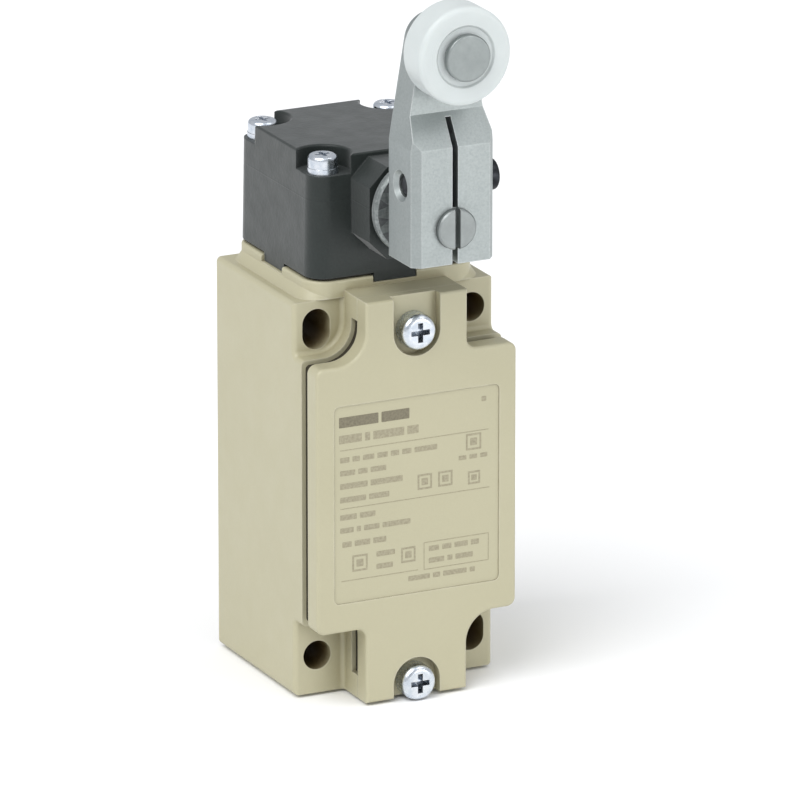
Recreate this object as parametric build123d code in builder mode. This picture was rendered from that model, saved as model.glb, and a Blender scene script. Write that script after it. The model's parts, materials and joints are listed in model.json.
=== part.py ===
from build123d import *
import os

# Limit switch with a roller lever.
#
# Row frame, millimetres: origin at the centre of the mounting hole pattern on the
# mounting face, +X to the right seen from the front, +Z up. The front looks along -Y,
# so a "front distance" is measured from the mounting face towards -Y.

# ---------------------------------------------------------------- box and its cover
HOLE_PITCH_X = 30.0
HOLE_PITCH_Z = 60.0
HOLE_RADIUS = 2.65
SLOT_LENGTH = 7.3

BOX_WIDTH = 38.8
BOX_BOTTOM = -37.0
SHOULDER_TOP = 35.2
EAR_FRONT = 31.4
RIM_FRONT = 34.65
COVER_BACK = 37.05
COVER_FRONT = 40.7
BROW_FRONT = COVER_BACK - 0.1
BROW_HEIGHT = 4.2

PLATE_TOP = 25.6
PLATE_BOTTOM = -23.15
TONGUE_WIDTH = 19.6
TONGUE_TOP = 36.5
SWEPT_CORNER = 5.5
TIGHT_CORNER = 1.8
OUTER_CORNER = 1.6
ROOT_FILLET = 0.8
SIDE_FILLET = 0.9

CAVITY_BACK = 2.8
CAVITY_WIDTH = 33.8
CAVITY_TOP = 23.9
CAVITY_BOTTOM = -21.5

COVER_SCREW_Z = (30.2, -34.3)
COVER_SCREW_SEAT = 38.8
COVER_SCREW_TIP = 28.0
COVER_SCREW_RADIUS = 1.75
COVER_SCREW_HEAD = 3.3
COVER_SCREW_HEAD_RADIUS = 3.25
GASKET_INSET = 0.8
PANEL_DEPTH = 0.2
SCREW_BAY_WIDTH = 9.0
LABEL_WIDTH = 32.0
LABEL_TOP = 18.4
LABEL_BOTTOM = -17.8

CONDUIT_RADIUS = 9.2
CONDUIT_AXIS = 16.3

# ---------------------------------------------------------------- head and platform
HEAD_AXIS = 16.1
PLATFORM_WIDTH = 32.6
PLATFORM_DEPTH = 31.6
PLATFORM_TOP = 38.4
PLATFORM_CORNER = 4.4
FOOT_WIDTH = 1.2
FOOT_HEIGHT = 1.7
FOOT_TAPER = 35
GASKET_THICKNESS = 0.5
HEAD_BOTTOM = PLATFORM_TOP + GASKET_THICKNESS
HEAD_TOP = 60.8
HEAD_WIDTH = 31.6
HEAD_CORNER = 3.6
HEAD_DRAFT = 1.0
LEDGE_TOP = 57.3
LEDGE_POCKET_RADIUS = 5.0
HEAD_SCREW_PITCH = 24.4
HEAD_SCREW_RADIUS = 1.75
HEAD_SCREW_HEAD = 2.3
HEAD_SCREW_HEAD_RADIUS = 2.6
HEAD_SCREW_TIP = 34.6
HEAD_HOLE_BOTTOM = 34.4
HEAD_WASHER = 1.0
TAB_WIDTH = 8.0
TAB_THICKNESS = 1.6
TAB_BOTTOM = 37.3

ROOM_WIDTH = 18.0
ROOM_DEPTH = 19.6
ROOM_TOP = 56.0
CAM_ROOM_WIDTH = 13.2
CAM_ROOM_DEPTH = 15.8
CAM_ROOM_TOP = 59.2

BOSS_FRONT = 38.9
BOSS_WIDTH = 16.6
BOSS_TOP = 60.0
BOSS_BOTTOM = 43.4
BOSS_CHAMFER = 3.4
NECK_RADIUS = 7.6
NECK_FRONT = 40.6
MARKER_RADIUS = 8.7
MARKER_THICKNESS = 1.5

# ---------------------------------------------------------------- shaft, cam, plunger
SHAFT_Z = 52.85
SHAFT_RADIUS = 3.625
SHAFT_END = 56.6
JOURNAL_RADIUS = 3.0
JOURNAL_BACK = 3.3
JOURNAL_FRONT = 22.0
BEARING_RADIUS = 5.2
BEARING_BACK = 23.6
BEARING_FRONT = 38.5
SEAL_RADIUS = 5.9
RUNNING_GAP = 0.05
RING_BACK = 22.45
RING_THICKNESS = 0.8
RING_RADIUS = 5.0
RING_SEAT_RADIUS = 3.1

CAM_RADIUS = 6.1
CAM_FLAT = 3.9
CAM_WIDTH = 9.0
CAM_PIN_RADIUS = 0.75
CAM_PIN_LENGTH = 10.6
PLUNGER_TOP = SHAFT_Z - CAM_RADIUS - 0.15
PLUNGER_RADIUS = 2.95
PLUNGER_HEAD_RADIUS = 4.4
PLUNGER_HEAD_BOTTOM = 43.6
PLUNGER_BOTTOM = 25.0

GUIDE_RADIUS = 5.4
GUIDE_BOTTOM = 24.4
GUIDE_FLANGE_RADIUS = 7.0
GUIDE_FLANGE_HEIGHT = 1.2
SPRING_SEAT = 34.0
SPRING_ROOM_RADIUS = 4.6
SPRING_LENGTH = PLUNGER_HEAD_BOTTOM - SPRING_SEAT - 0.1
SEAL_BOTTOM = 28.0
PLUNGER_SEAL_RADIUS = 4.25
PLUNGER_SEAL_HEIGHT = 2.0

# ---------------------------------------------------------------- lever and roller
LEVER_BACK = 45.0
LEVER_FRONT = 55.5
ARM_FRONT = 52.0
LEVER_WIDTH = 15.8
LEVER_BOTTOM = 46.4
LEVER_SHOULDER = 67.3
FACET_TOP = 72.9
SLIT_TOP = 72.0
LEVER_CHAMFER_DEPTH = 1.2
LEVER_CHAMFER_WIDTH = 1.5
LEVER_BACK_FILLET = 0.9
SLIT_WIDTH = 1.05
ROLLER_Z = 84.35
ARM_END_RADIUS = 5.0
CLAMP_BOLT_Z = 60.0
CLAMP_BOLT_AXIS = 50.2
CLAMP_BOLT_RADIUS = 2.0
CLAMP_BOLT_HEAD_RADIUS = 2.8
CLAMP_BOLT_HEAD = 4.6
CLAMP_BOLT_LENGTH = 12.3
CLAMP_BOLT_SEAT = 4.4
CLAMP_BOLT_SOCKET = 1.5
CLAMP_HOLE_RIM = 0.8
CLAMP_WASHER = 1.0

ROLLER_RADIUS = 8.75
ROLLER_BACK = 52.5
ROLLER_WIDTH = 7.0
PIN_RADIUS = 3.4
PIN_HEAD_RADIUS = 4.15
PIN_SHANK_RADIUS = 2.5
# start and end of each step of the pin, as front distances, and its radius
ROLLER_PIN_STEPS = (
    (LEVER_BACK - 1.0, LEVER_BACK, 3.5),
    (LEVER_BACK, ARM_FRONT, PIN_SHANK_RADIUS),
    (ARM_FRONT, ROLLER_BACK + ROLLER_WIDTH + 0.15, PIN_RADIUS),
    (ROLLER_BACK + ROLLER_WIDTH + 0.15, ROLLER_BACK + ROLLER_WIDTH + 1.25, PIN_HEAD_RADIUS),
)

# ---------------------------------------------------------------- built-in switch
BLOCK_WIDTH = 27.6
BLOCK_TOP = 22.2
BLOCK_BOTTOM = -14.4
BLOCK_BACK = 6.0
BLIND_WALL = 1.2
BLOCK_CASE_FRONT = 24.5
BLOCK_FRONT = 26.5
CHAMBER_WIDTH = 16.8
CHAMBER_TOP = 16.4
CHAMBER_BOTTOM = -11.4
CHAMBER_BACK = 8.5

CARRIER_WIDTH = 5.2
CARRIER_DEPTH = 7.0
CARRIER_BOTTOM = -5.0
CARRIER_SHOULDER = 14.0
CARRIER_STEM_RADIUS = 2.4
CARRIER_TOP = 24.8
WINDOW_DEPTH = 4.2
WINDOW_HEIGHT = 3.5
NC_WINDOW_BOTTOM = 6.3
NO_WINDOW_BOTTOM = 1.2

BRIDGE_LENGTH = 15.2
BRIDGE_WIDTH = 4.0
BRIDGE_THICKNESS = 0.8
NC_BRIDGE_Z = 8.9
NO_BRIDGE_Z = 1.3
RIVET_RADIUS = 1.2
RIVET_HEIGHT = 0.6
RIVET_X = 6.3

NC_ARM_Z = 11.0
NO_ARM_Z = -3.0
ARM_INNER_X = 4.8
ARM_OUTER_X = 8.3
ARM_BACK = 13.5
STRIP = 0.8
TONGUE_OUTER_X = 13.4
TONGUE_RISE = 5.7
TERMINAL_X = 10.6
TERMINAL_OFFSET = 2.8
TERMINAL_SCREW_RADIUS = 1.75
TERMINAL_SCREW_TIP = 18.5
TERMINAL_WASHER = 0.8
BARRIER = 1.6
SPRING_PEG_RADIUS = 1.3
BLOCK_SCREW_RADIUS = 1.5
BLOCK_SCREW_SPOTS = ((-11.3, 19.4), (11.3, -11.4))
GROUND_SPOT = (11.5, -18.2)
GROUND_SEAT = 7.0
GROUND_BOSS_RADIUS = 3.0

THREAD_GAP = 0.05
BIG = 200.0

HOLE_X = HOLE_PITCH_X / 2
HOLE_Z = HOLE_PITCH_Z / 2
SCREW_OFFSET = HEAD_SCREW_PITCH / 2
HEAD_CENTRE = (0, -HEAD_AXIS)
COVER_SCREW_SPOTS = [(0, z) for z in COVER_SCREW_Z]
TERMINAL_SPOTS = [
    (x, z)
    for x in (-TERMINAL_X, TERMINAL_X)
    for z in (NC_ARM_Z + TERMINAL_OFFSET, NO_ARM_Z + STRIP - TERMINAL_OFFSET)
]
HEAD_SCREW_SPOTS = [
    (x, -HEAD_AXIS + y)
    for x in (-SCREW_OFFSET, SCREW_OFFSET)
    for y in (-SCREW_OFFSET, SCREW_OFFSET)
]


def front(distance):
    """Plane parallel to the mounting face, drawn in X and Z, looking at the front."""
    return Plane.XZ.offset(distance)


def level(height):
    """Horizontal plane at a height, drawn in X and Y."""
    return Plane.XY.offset(height)


def near(shapes, x, y):
    """The vertex of a sketch that is nearest to a point."""
    return shapes.sort_by_distance((x, y, 0))[0]


def box_sketch(x_low, x_high, y_low, y_high, mode=Mode.ADD):
    """Rectangle between two corners, in the sketch that is open."""
    with Locations(((x_low + x_high) / 2, (y_low + y_high) / 2)):
        Rectangle(x_high - x_low, y_high - y_low, mode=mode)


def cover_outline(inset=0.0, outer_corner=OUTER_CORNER):
    """Plate with a tongue above and below; two swept inner corners clear the slots."""
    half_plate = BOX_WIDTH / 2
    half_tongue = TONGUE_WIDTH / 2
    with BuildSketch() as outline:
        box_sketch(-half_plate, half_plate, PLATE_BOTTOM, PLATE_TOP)
        box_sketch(-half_tongue, half_tongue, BOX_BOTTOM, TONGUE_TOP)
        swept = [near(outline.vertices(), -half_tongue, PLATE_TOP)]
        swept.append(near(outline.vertices(), half_tongue, PLATE_BOTTOM))
        fillet(swept, SWEPT_CORNER)
        tight = [near(outline.vertices(), half_tongue, PLATE_TOP)]
        tight.append(near(outline.vertices(), -half_tongue, PLATE_BOTTOM))
        fillet(tight, TIGHT_CORNER)
        if outer_corner:
            for x in (-half_plate, half_plate):
                for z in (PLATE_BOTTOM, PLATE_TOP):
                    fillet(near(outline.vertices(), x, z), outer_corner)
        if inset:
            offset(amount=-inset, kind=Kind.INTERSECTION, mode=Mode.REPLACE)
    return outline.sketch


def pan_screw(head_radius, head_height, shank_radius, shank_length):
    """Pan head screw along Z: the head stands on level 0, the shank hangs below."""
    with BuildPart() as screw:
        with BuildSketch():
            Circle(head_radius)
        extrude(amount=head_height)
        fillet(screw.faces().sort_by(Axis.Z)[-1].edges(), head_radius * 0.32)
        with BuildSketch():
            Circle(shank_radius)
        extrude(amount=-shank_length)
        chamfer(screw.faces().sort_by(Axis.Z)[0].edges(), shank_radius * 0.2)
        # cross recess for the driver
        with BuildSketch(level(head_height)):
            Rectangle(head_radius * 1.1, head_radius * 0.3)
            Rectangle(head_radius * 0.3, head_radius * 1.1)
        extrude(amount=-head_height * 0.55, taper=8, mode=Mode.SUBTRACT)
    return screw.part


def spring_washer(inner, outer, thickness, gap=0.5):
    """Split washer that stands on level 0."""
    with BuildPart() as washer:
        with BuildSketch():
            Circle(outer)
            Circle(inner, mode=Mode.SUBTRACT)
            with Locations((outer / 2, 0)):
                Rectangle(outer * 1.2, gap, mode=Mode.SUBTRACT)
        extrude(amount=thickness)
    return washer.part


def coil(centre, bottom, height, radius, wire, turns):
    """Round wire compression spring that stands upright."""
    with BuildPart() as spring:
        with BuildLine() as path:
            Helix(
                pitch=(height - 2 * wire) / turns,
                height=height - 2 * wire,
                radius=radius,
                center=(centre[0], centre[1], bottom + wire),
            )
        with BuildSketch(Plane(origin=path.line @ 0, z_dir=path.line % 0)):
            Circle(wire)
        sweep()
    return spring.part


def keep(builder, name):
    """Label a finished piece and write it to its own file."""
    builder.part.label = name
    export_step(builder.part, f"parts/{name}.step")


os.makedirs("parts", exist_ok=True)

# ---------------------------------------------------------------- switch box
with BuildPart() as switch_box:
    with BuildSketch(front(0)):
        box_sketch(-BOX_WIDTH / 2, BOX_WIDTH / 2, BOX_BOTTOM, SHOULDER_TOP)
    extrude(amount=EAR_FRONT)
    # the tongue runs back under the platform, and the rim carries the cover
    with BuildSketch(front(CAVITY_BACK)):
        box_sketch(-TONGUE_WIDTH / 2, TONGUE_WIDTH / 2, 0, TONGUE_TOP)
    extrude(amount=EAR_FRONT - CAVITY_BACK)
    with BuildSketch(front(EAR_FRONT)):
        add(cover_outline(outer_corner=0.0))
    extrude(amount=RIM_FRONT - EAR_FRONT)
    # small root radius where the rim rises from the four ears
    root_edges = switch_box.edges().filter_by_position(Axis.Y, -EAR_FRONT - 0.01, -EAR_FRONT + 0.01)
    root_edges = root_edges.filter_by(lambda edge: abs(edge.center().X) < BOX_WIDTH / 2 - 0.5)
    root_edges = root_edges.filter_by(
        lambda edge: BOX_BOTTOM + 1 < edge.center().Z < SHOULDER_TOP - 1
    )
    fillet(root_edges, ROOT_FILLET)
    fillet(switch_box.edges().filter_by(Axis.Y).group_by(Axis.X)[0], SIDE_FILLET)
    fillet(switch_box.edges().filter_by(Axis.Y).group_by(Axis.X)[-1], SIDE_FILLET)
    # brows close the gasket groove at both tongue ends
    with BuildSketch(front(RIM_FRONT)):
        box_sketch(-TONGUE_WIDTH / 2, TONGUE_WIDTH / 2, TONGUE_TOP - BROW_HEIGHT, TONGUE_TOP)
        box_sketch(-TONGUE_WIDTH / 2, TONGUE_WIDTH / 2, BOX_BOTTOM, BOX_BOTTOM + BROW_HEIGHT)
    extrude(amount=BROW_FRONT - RIM_FRONT)
    # platform under the head, with a sloped foot on both sides
    with BuildSketch(level(SHOULDER_TOP)):
        with Locations(HEAD_CENTRE):
            RectangleRounded(PLATFORM_WIDTH, PLATFORM_DEPTH, PLATFORM_CORNER)
    extrude(amount=PLATFORM_TOP - SHOULDER_TOP)
    with BuildSketch(level(SHOULDER_TOP)):
        with Locations(HEAD_CENTRE):
            RectangleRounded(PLATFORM_WIDTH + 2 * FOOT_WIDTH, PLATFORM_DEPTH, PLATFORM_CORNER)
    extrude(amount=FOOT_HEIGHT, taper=FOOT_TAPER)
    fillet(switch_box.faces().sort_by(Axis.Z)[-1].edges(), 0.45)
    # notches for the head's four tabs
    with BuildSketch(level(PLATFORM_TOP)):
        with Locations(HEAD_CENTRE):
            with PolarLocations(HEAD_WIDTH / 2 + TAB_THICKNESS, 4):
                Rectangle(4 * TAB_THICKNESS + 0.2, TAB_WIDTH + 0.4)
    extrude(amount=TAB_BOTTOM - 0.1 - PLATFORM_TOP, mode=Mode.SUBTRACT)
    # wiring chamber, open to the front
    with BuildSketch(front(CAVITY_BACK)):
        with Locations((0, (CAVITY_TOP + CAVITY_BOTTOM) / 2)):
            RectangleRounded(CAVITY_WIDTH, CAVITY_TOP - CAVITY_BOTTOM, 2.5)
    extrude(amount=BIG, mode=Mode.SUBTRACT)
    # bosses inside, for the contact block and the earth screw
    with BuildSketch(front(CAVITY_BACK)):
        with Locations(*BLOCK_SCREW_SPOTS):
            Circle(2 * BLOCK_SCREW_RADIUS)
    extrude(amount=BLOCK_BACK - CAVITY_BACK)
    with BuildSketch(front(CAVITY_BACK)):
        with Locations(GROUND_SPOT):
            Circle(GROUND_BOSS_RADIUS)
    extrude(amount=GROUND_SEAT - CAVITY_BACK)
    with BuildSketch(front(BLIND_WALL)):
        with Locations(*BLOCK_SCREW_SPOTS):
            Circle(BLOCK_SCREW_RADIUS + THREAD_GAP)
        with Locations(GROUND_SPOT):
            Circle(TERMINAL_SCREW_RADIUS + THREAD_GAP)
    extrude(amount=GROUND_SEAT - BLIND_WALL, mode=Mode.SUBTRACT)
    # two round mounting holes and two slots
    with BuildSketch(front(0)):
        with Locations((HOLE_X, HOLE_Z), (-HOLE_X, -HOLE_Z)):
            Circle(HOLE_RADIUS)
        with Locations((-HOLE_X, HOLE_Z), (HOLE_X, -HOLE_Z)):
            SlotOverall(SLOT_LENGTH, 2 * HOLE_RADIUS, rotation=90)
    extrude(amount=BIG, mode=Mode.SUBTRACT)
    # conduit opening in the bottom
    with BuildSketch(level(BOX_BOTTOM)):
        with Locations((0, -CONDUIT_AXIS)):
            Circle(CONDUIT_RADIUS)
    extrude(amount=CAVITY_BOTTOM - BOX_BOTTOM, mode=Mode.SUBTRACT)
    # bore and counterbore for the plunger guide
    with BuildSketch(level(CAVITY_TOP)):
        with Locations(HEAD_CENTRE):
            Circle(GUIDE_RADIUS + THREAD_GAP)
    extrude(amount=PLATFORM_TOP - CAVITY_TOP, mode=Mode.SUBTRACT)
    with BuildSketch(level(PLATFORM_TOP)):
        with Locations(HEAD_CENTRE):
            Circle(GUIDE_FLANGE_RADIUS + THREAD_GAP)
    extrude(amount=-GUIDE_FLANGE_HEIGHT, mode=Mode.SUBTRACT)
    # tapped holes for the head screws and the cover screws
    with BuildSketch(level(PLATFORM_TOP)):
        with Locations(*HEAD_SCREW_SPOTS):
            Circle(HEAD_SCREW_RADIUS + THREAD_GAP)
    extrude(amount=HEAD_HOLE_BOTTOM - PLATFORM_TOP, mode=Mode.SUBTRACT)
    with BuildSketch(front(COVER_SCREW_TIP - 0.6)):
        with Locations(*COVER_SCREW_SPOTS):
            Circle(COVER_SCREW_RADIUS + THREAD_GAP)
    extrude(amount=BIG, mode=Mode.SUBTRACT)
keep(switch_box, "switch_box")

# ---------------------------------------------------------------- front cover, gasket, screws
with BuildPart() as front_cover:
    with BuildSketch(front(COVER_BACK)):
        add(cover_outline())
    extrude(amount=COVER_FRONT - COVER_BACK)
    fillet(front_cover.faces().sort_by(Axis.Y)[0].edges(), 0.55)
    # bays for the screw heads, open at the tongue ends
    with BuildSketch(front(COVER_SCREW_SEAT)):
        with Locations(*COVER_SCREW_SPOTS):
            Circle(SCREW_BAY_WIDTH / 2)
        box_sketch(-SCREW_BAY_WIDTH / 2, SCREW_BAY_WIDTH / 2, COVER_SCREW_Z[0], TONGUE_TOP + 1)
        box_sketch(-SCREW_BAY_WIDTH / 2, SCREW_BAY_WIDTH / 2, BOX_BOTTOM - 1, COVER_SCREW_Z[1])
    extrude(amount=BIG, mode=Mode.SUBTRACT)
    with BuildSketch(front(COVER_BACK)):
        with Locations(*COVER_SCREW_SPOTS):
            Circle(COVER_SCREW_RADIUS + 0.25)
    extrude(amount=BIG, mode=Mode.SUBTRACT)
    # shallow panel on the front
    with BuildSketch(front(COVER_FRONT)):
        with Locations((0, (LABEL_TOP + LABEL_BOTTOM) / 2)):
            RectangleRounded(LABEL_WIDTH, LABEL_TOP - LABEL_BOTTOM, 1.0)
    extrude(amount=-PANEL_DEPTH, mode=Mode.SUBTRACT)
    # hollow behind the panel
    with BuildSketch(front(COVER_BACK)):
        with Locations((0, (PLATE_TOP + PLATE_BOTTOM) / 2)):
            RectangleRounded(CAVITY_WIDTH - 4, CAVITY_TOP - CAVITY_BOTTOM - 4, 2.0)
    extrude(amount=1.5, mode=Mode.SUBTRACT)
keep(front_cover, "front_cover")

with BuildPart() as cover_gasket:
    with BuildSketch(front(RIM_FRONT)):
        add(cover_outline(inset=GASKET_INSET))
        box_sketch(
            -BOX_WIDTH,
            BOX_WIDTH,
            BOX_BOTTOM + BROW_HEIGHT + 0.1,
            TONGUE_TOP - BROW_HEIGHT - 0.1,
            mode=Mode.INTERSECT,
        )
        with Locations((0, (CAVITY_TOP + CAVITY_BOTTOM) / 2)):
            RectangleRounded(CAVITY_WIDTH - 1, CAVITY_TOP - CAVITY_BOTTOM - 1, 2.0, mode=Mode.SUBTRACT)
        with Locations(*COVER_SCREW_SPOTS):
            Circle(COVER_SCREW_RADIUS + 0.5, mode=Mode.SUBTRACT)
    extrude(amount=COVER_BACK - RIM_FRONT)
keep(cover_gasket, "cover_gasket")

cover_screw = pan_screw(
    COVER_SCREW_HEAD_RADIUS,
    COVER_SCREW_HEAD,
    COVER_SCREW_RADIUS,
    COVER_SCREW_SEAT - COVER_SCREW_TIP,
)
with BuildPart() as cover_screws:
    with Locations(front(COVER_SCREW_SEAT)):
        with Locations(*COVER_SCREW_SPOTS):
            add(cover_screw)
keep(cover_screws, "cover_screws")

# ---------------------------------------------------------------- operating head
with BuildPart() as operating_head:
    with BuildSketch(level(HEAD_BOTTOM)):
        with Locations(HEAD_CENTRE):
            RectangleRounded(HEAD_WIDTH, HEAD_WIDTH, HEAD_CORNER)
    extrude(amount=HEAD_TOP - HEAD_BOTTOM, taper=HEAD_DRAFT)
    # front boss with cut corners, then the round neck
    with BuildSketch(front(HEAD_AXIS + HEAD_WIDTH / 2 - 2)):
        with Locations((0, (BOSS_TOP + BOSS_BOTTOM) / 2)):
            boss = Rectangle(BOSS_WIDTH, BOSS_TOP - BOSS_BOTTOM)
        chamfer(boss.vertices(), BOSS_CHAMFER)
    extrude(amount=BOSS_FRONT - HEAD_AXIS - HEAD_WIDTH / 2 + 2)
    with BuildSketch(front(BOSS_FRONT)):
        with Locations((0, SHAFT_Z)):
            Circle(NECK_RADIUS)
    extrude(amount=NECK_FRONT - BOSS_FRONT)
    # corner ledges for the screws
    with BuildSketch(level(LEDGE_TOP)):
        with Locations(*HEAD_SCREW_SPOTS):
            Circle(LEDGE_POCKET_RADIUS)
    extrude(amount=BIG, mode=Mode.SUBTRACT)
    top_edges = operating_head.faces().sort_by(Axis.Z)[-1].edges()
    fillet(top_edges, 0.4)
    with BuildSketch(level(HEAD_BOTTOM)):
        with Locations(*HEAD_SCREW_SPOTS):
            Circle(HEAD_SCREW_RADIUS + 0.15)
    extrude(amount=BIG, mode=Mode.SUBTRACT)
    # tabs that drop into the platform's notches, so the head can be turned by quarters
    with BuildSketch(level(TAB_BOTTOM)):
        with Locations(HEAD_CENTRE):
            with PolarLocations(HEAD_WIDTH / 2 - TAB_THICKNESS / 2, 4):
                Rectangle(TAB_THICKNESS, TAB_WIDTH)
    extrude(amount=HEAD_BOTTOM - TAB_BOTTOM)
    # room for the plunger and the cam
    with BuildSketch(level(HEAD_BOTTOM)):
        with Locations(HEAD_CENTRE):
            RectangleRounded(ROOM_WIDTH, ROOM_DEPTH, 2.0)
    extrude(amount=ROOM_TOP - HEAD_BOTTOM, mode=Mode.SUBTRACT)
    with BuildSketch(level(ROOM_TOP)):
        with Locations(HEAD_CENTRE):
            RectangleRounded(CAM_ROOM_WIDTH, CAM_ROOM_DEPTH, 1.0)
    extrude(amount=CAM_ROOM_TOP - ROOM_TOP, mode=Mode.SUBTRACT)
    # rear journal, bearing bore and seal seat
    with BuildSketch(front(JOURNAL_BACK - 0.2)):
        with Locations((0, SHAFT_Z)):
            Circle(JOURNAL_RADIUS + RUNNING_GAP)
    extrude(amount=CAM_ROOM_DEPTH / 2, mode=Mode.SUBTRACT)
    with BuildSketch(front(HEAD_AXIS)):
        with Locations((0, SHAFT_Z)):
            Circle(BEARING_RADIUS + 0.02)
    extrude(amount=BIG, mode=Mode.SUBTRACT)
    with BuildSketch(front(BEARING_FRONT)):
        with Locations((0, SHAFT_Z)):
            Circle(SEAL_RADIUS + THREAD_GAP)
    extrude(amount=BIG, mode=Mode.SUBTRACT)
keep(operating_head, "operating_head")

with BuildPart() as head_gasket:
    with BuildSketch(level(PLATFORM_TOP)):
        with Locations(HEAD_CENTRE):
            RectangleRounded(HEAD_WIDTH - 2, HEAD_WIDTH - 2, HEAD_CORNER - 1)
            Circle(GUIDE_FLANGE_RADIUS + 1, mode=Mode.SUBTRACT)
            with PolarLocations(HEAD_WIDTH / 2, 4):
                Rectangle(2 * TAB_THICKNESS + 0.2, TAB_WIDTH + 0.4, mode=Mode.SUBTRACT)
        with Locations(*HEAD_SCREW_SPOTS):
            Circle(HEAD_SCREW_RADIUS + 0.3, mode=Mode.SUBTRACT)
    extrude(amount=GASKET_THICKNESS)
keep(head_gasket, "head_gasket")

head_screw = pan_screw(
    HEAD_SCREW_HEAD_RADIUS,
    HEAD_SCREW_HEAD,
    HEAD_SCREW_RADIUS,
    LEDGE_TOP + HEAD_WASHER - HEAD_SCREW_TIP,
)
with BuildPart() as head_screws:
    with Locations(level(LEDGE_TOP + HEAD_WASHER)):
        with Locations(*HEAD_SCREW_SPOTS):
            add(head_screw)
keep(head_screws, "head_screws")

head_washer = spring_washer(HEAD_SCREW_RADIUS + 0.1, HEAD_SCREW_HEAD_RADIUS + 0.1, HEAD_WASHER)
with BuildPart() as head_screw_washers:
    with Locations(level(LEDGE_TOP)):
        with Locations(*HEAD_SCREW_SPOTS):
            add(head_washer)
keep(head_screw_washers, "head_screw_washers")

shaft_axis = (0, SHAFT_Z)
with BuildPart() as shaft_bearing:
    with BuildSketch(front(BEARING_BACK)):
        with Locations(shaft_axis):
            Circle(BEARING_RADIUS)
            Circle(SHAFT_RADIUS + RUNNING_GAP, mode=Mode.SUBTRACT)
    extrude(amount=BEARING_FRONT - BEARING_BACK)
keep(shaft_bearing, "shaft_bearing")

with BuildPart() as shaft_seal:
    with BuildSketch(front(BEARING_FRONT + 0.1)):
        with Locations(shaft_axis):
            Circle(SEAL_RADIUS)
            Circle(SHAFT_RADIUS + RUNNING_GAP, mode=Mode.SUBTRACT)
    extrude(amount=NECK_FRONT - BEARING_FRONT - 0.2)
    fillet(shaft_seal.edges(), 0.4)
keep(shaft_seal, "shaft_seal")

with BuildPart() as position_marker_plate:
    with BuildSketch(front(NECK_FRONT)):
        with Locations(shaft_axis):
            Circle(MARKER_RADIUS)
            Circle(SHAFT_RADIUS + 0.8, mode=Mode.SUBTRACT)
    extrude(amount=MARKER_THICKNESS)
    chamfer(position_marker_plate.faces().sort_by(Axis.Y)[0].edges().sort_by(SortBy.RADIUS)[-1], 0.5)
    # pointers: sunk triangles on the face, a quarter turn apart
    with BuildSketch(front(NECK_FRONT + MARKER_THICKNESS)):
        with Locations(shaft_axis):
            with PolarLocations(MARKER_RADIUS - 2.2, 4, start_angle=45):
                RegularPolygon(1.3, 3)
    extrude(amount=-0.4, mode=Mode.SUBTRACT)
keep(position_marker_plate, "position_marker_plate")

# ---------------------------------------------------------------- shaft, cam and their ring
with BuildPart() as rotary_shaft:
    with BuildSketch(front(JOURNAL_BACK)):
        with Locations(shaft_axis):
            Circle(JOURNAL_RADIUS)
    extrude(amount=JOURNAL_FRONT - JOURNAL_BACK)
    with BuildSketch(front(JOURNAL_FRONT)):
        with Locations(shaft_axis):
            Circle(SHAFT_RADIUS)
    extrude(amount=SHAFT_END - JOURNAL_FRONT)
    chamfer(rotary_shaft.faces().sort_by(Axis.Y)[0].edges(), 0.25)
    chamfer(rotary_shaft.faces().sort_by(Axis.Y)[-1].edges(), 0.4)
    # groove for the retaining ring
    with BuildSketch(front(RING_BACK - 0.05)):
        with Locations(shaft_axis):
            Circle(SHAFT_RADIUS + 1)
            Circle(RING_SEAT_RADIUS, mode=Mode.SUBTRACT)
    extrude(amount=RING_THICKNESS + 0.1, mode=Mode.SUBTRACT)
    # screwdriver slot in the front end
    with BuildSketch(front(SHAFT_END - 1.6)):
        with Locations(shaft_axis):
            Rectangle(1.0, 3 * SHAFT_RADIUS)
    extrude(amount=BIG, mode=Mode.SUBTRACT)
    with BuildSketch(Plane.YZ):
        with Locations((-HEAD_AXIS, SHAFT_Z)):
            Circle(CAM_PIN_RADIUS + 0.02)
    extrude(amount=BIG, both=True, mode=Mode.SUBTRACT)
keep(rotary_shaft, "rotary_shaft")

with BuildPart() as cam:
    with BuildSketch(front(HEAD_AXIS - CAM_WIDTH / 2)):
        with Locations(shaft_axis):
            Circle(CAM_RADIUS)
            Circle(JOURNAL_RADIUS + 0.01, mode=Mode.SUBTRACT)
        box_sketch(-CAM_RADIUS, CAM_RADIUS, SHAFT_Z - 2 * CAM_RADIUS, SHAFT_Z - CAM_FLAT, mode=Mode.SUBTRACT)
    extrude(amount=CAM_WIDTH)
    with BuildSketch(Plane.YZ):
        with Locations((-HEAD_AXIS, SHAFT_Z)):
            Circle(CAM_PIN_RADIUS + 0.02)
    extrude(amount=BIG, both=True, mode=Mode.SUBTRACT)
keep(cam, "cam")

with BuildPart() as cam_pin:
    with BuildSketch(Plane.YZ.offset(-CAM_PIN_LENGTH / 2)):
        with Locations((-HEAD_AXIS, SHAFT_Z)):
            Circle(CAM_PIN_RADIUS)
    extrude(amount=CAM_PIN_LENGTH)
    chamfer(cam_pin.edges(), 0.15)
keep(cam_pin, "cam_pin")

with BuildPart() as shaft_retaining_ring:
    with BuildSketch(front(RING_BACK)):
        with Locations(shaft_axis):
            Circle(RING_RADIUS)
            Circle(RING_SEAT_RADIUS + THREAD_GAP, mode=Mode.SUBTRACT)
        box_sketch(-1.6, 1.6, SHAFT_Z, SHAFT_Z + 2 * RING_RADIUS, mode=Mode.SUBTRACT)
    extrude(amount=RING_THICKNESS)
keep(shaft_retaining_ring, "shaft_retaining_ring")

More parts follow.
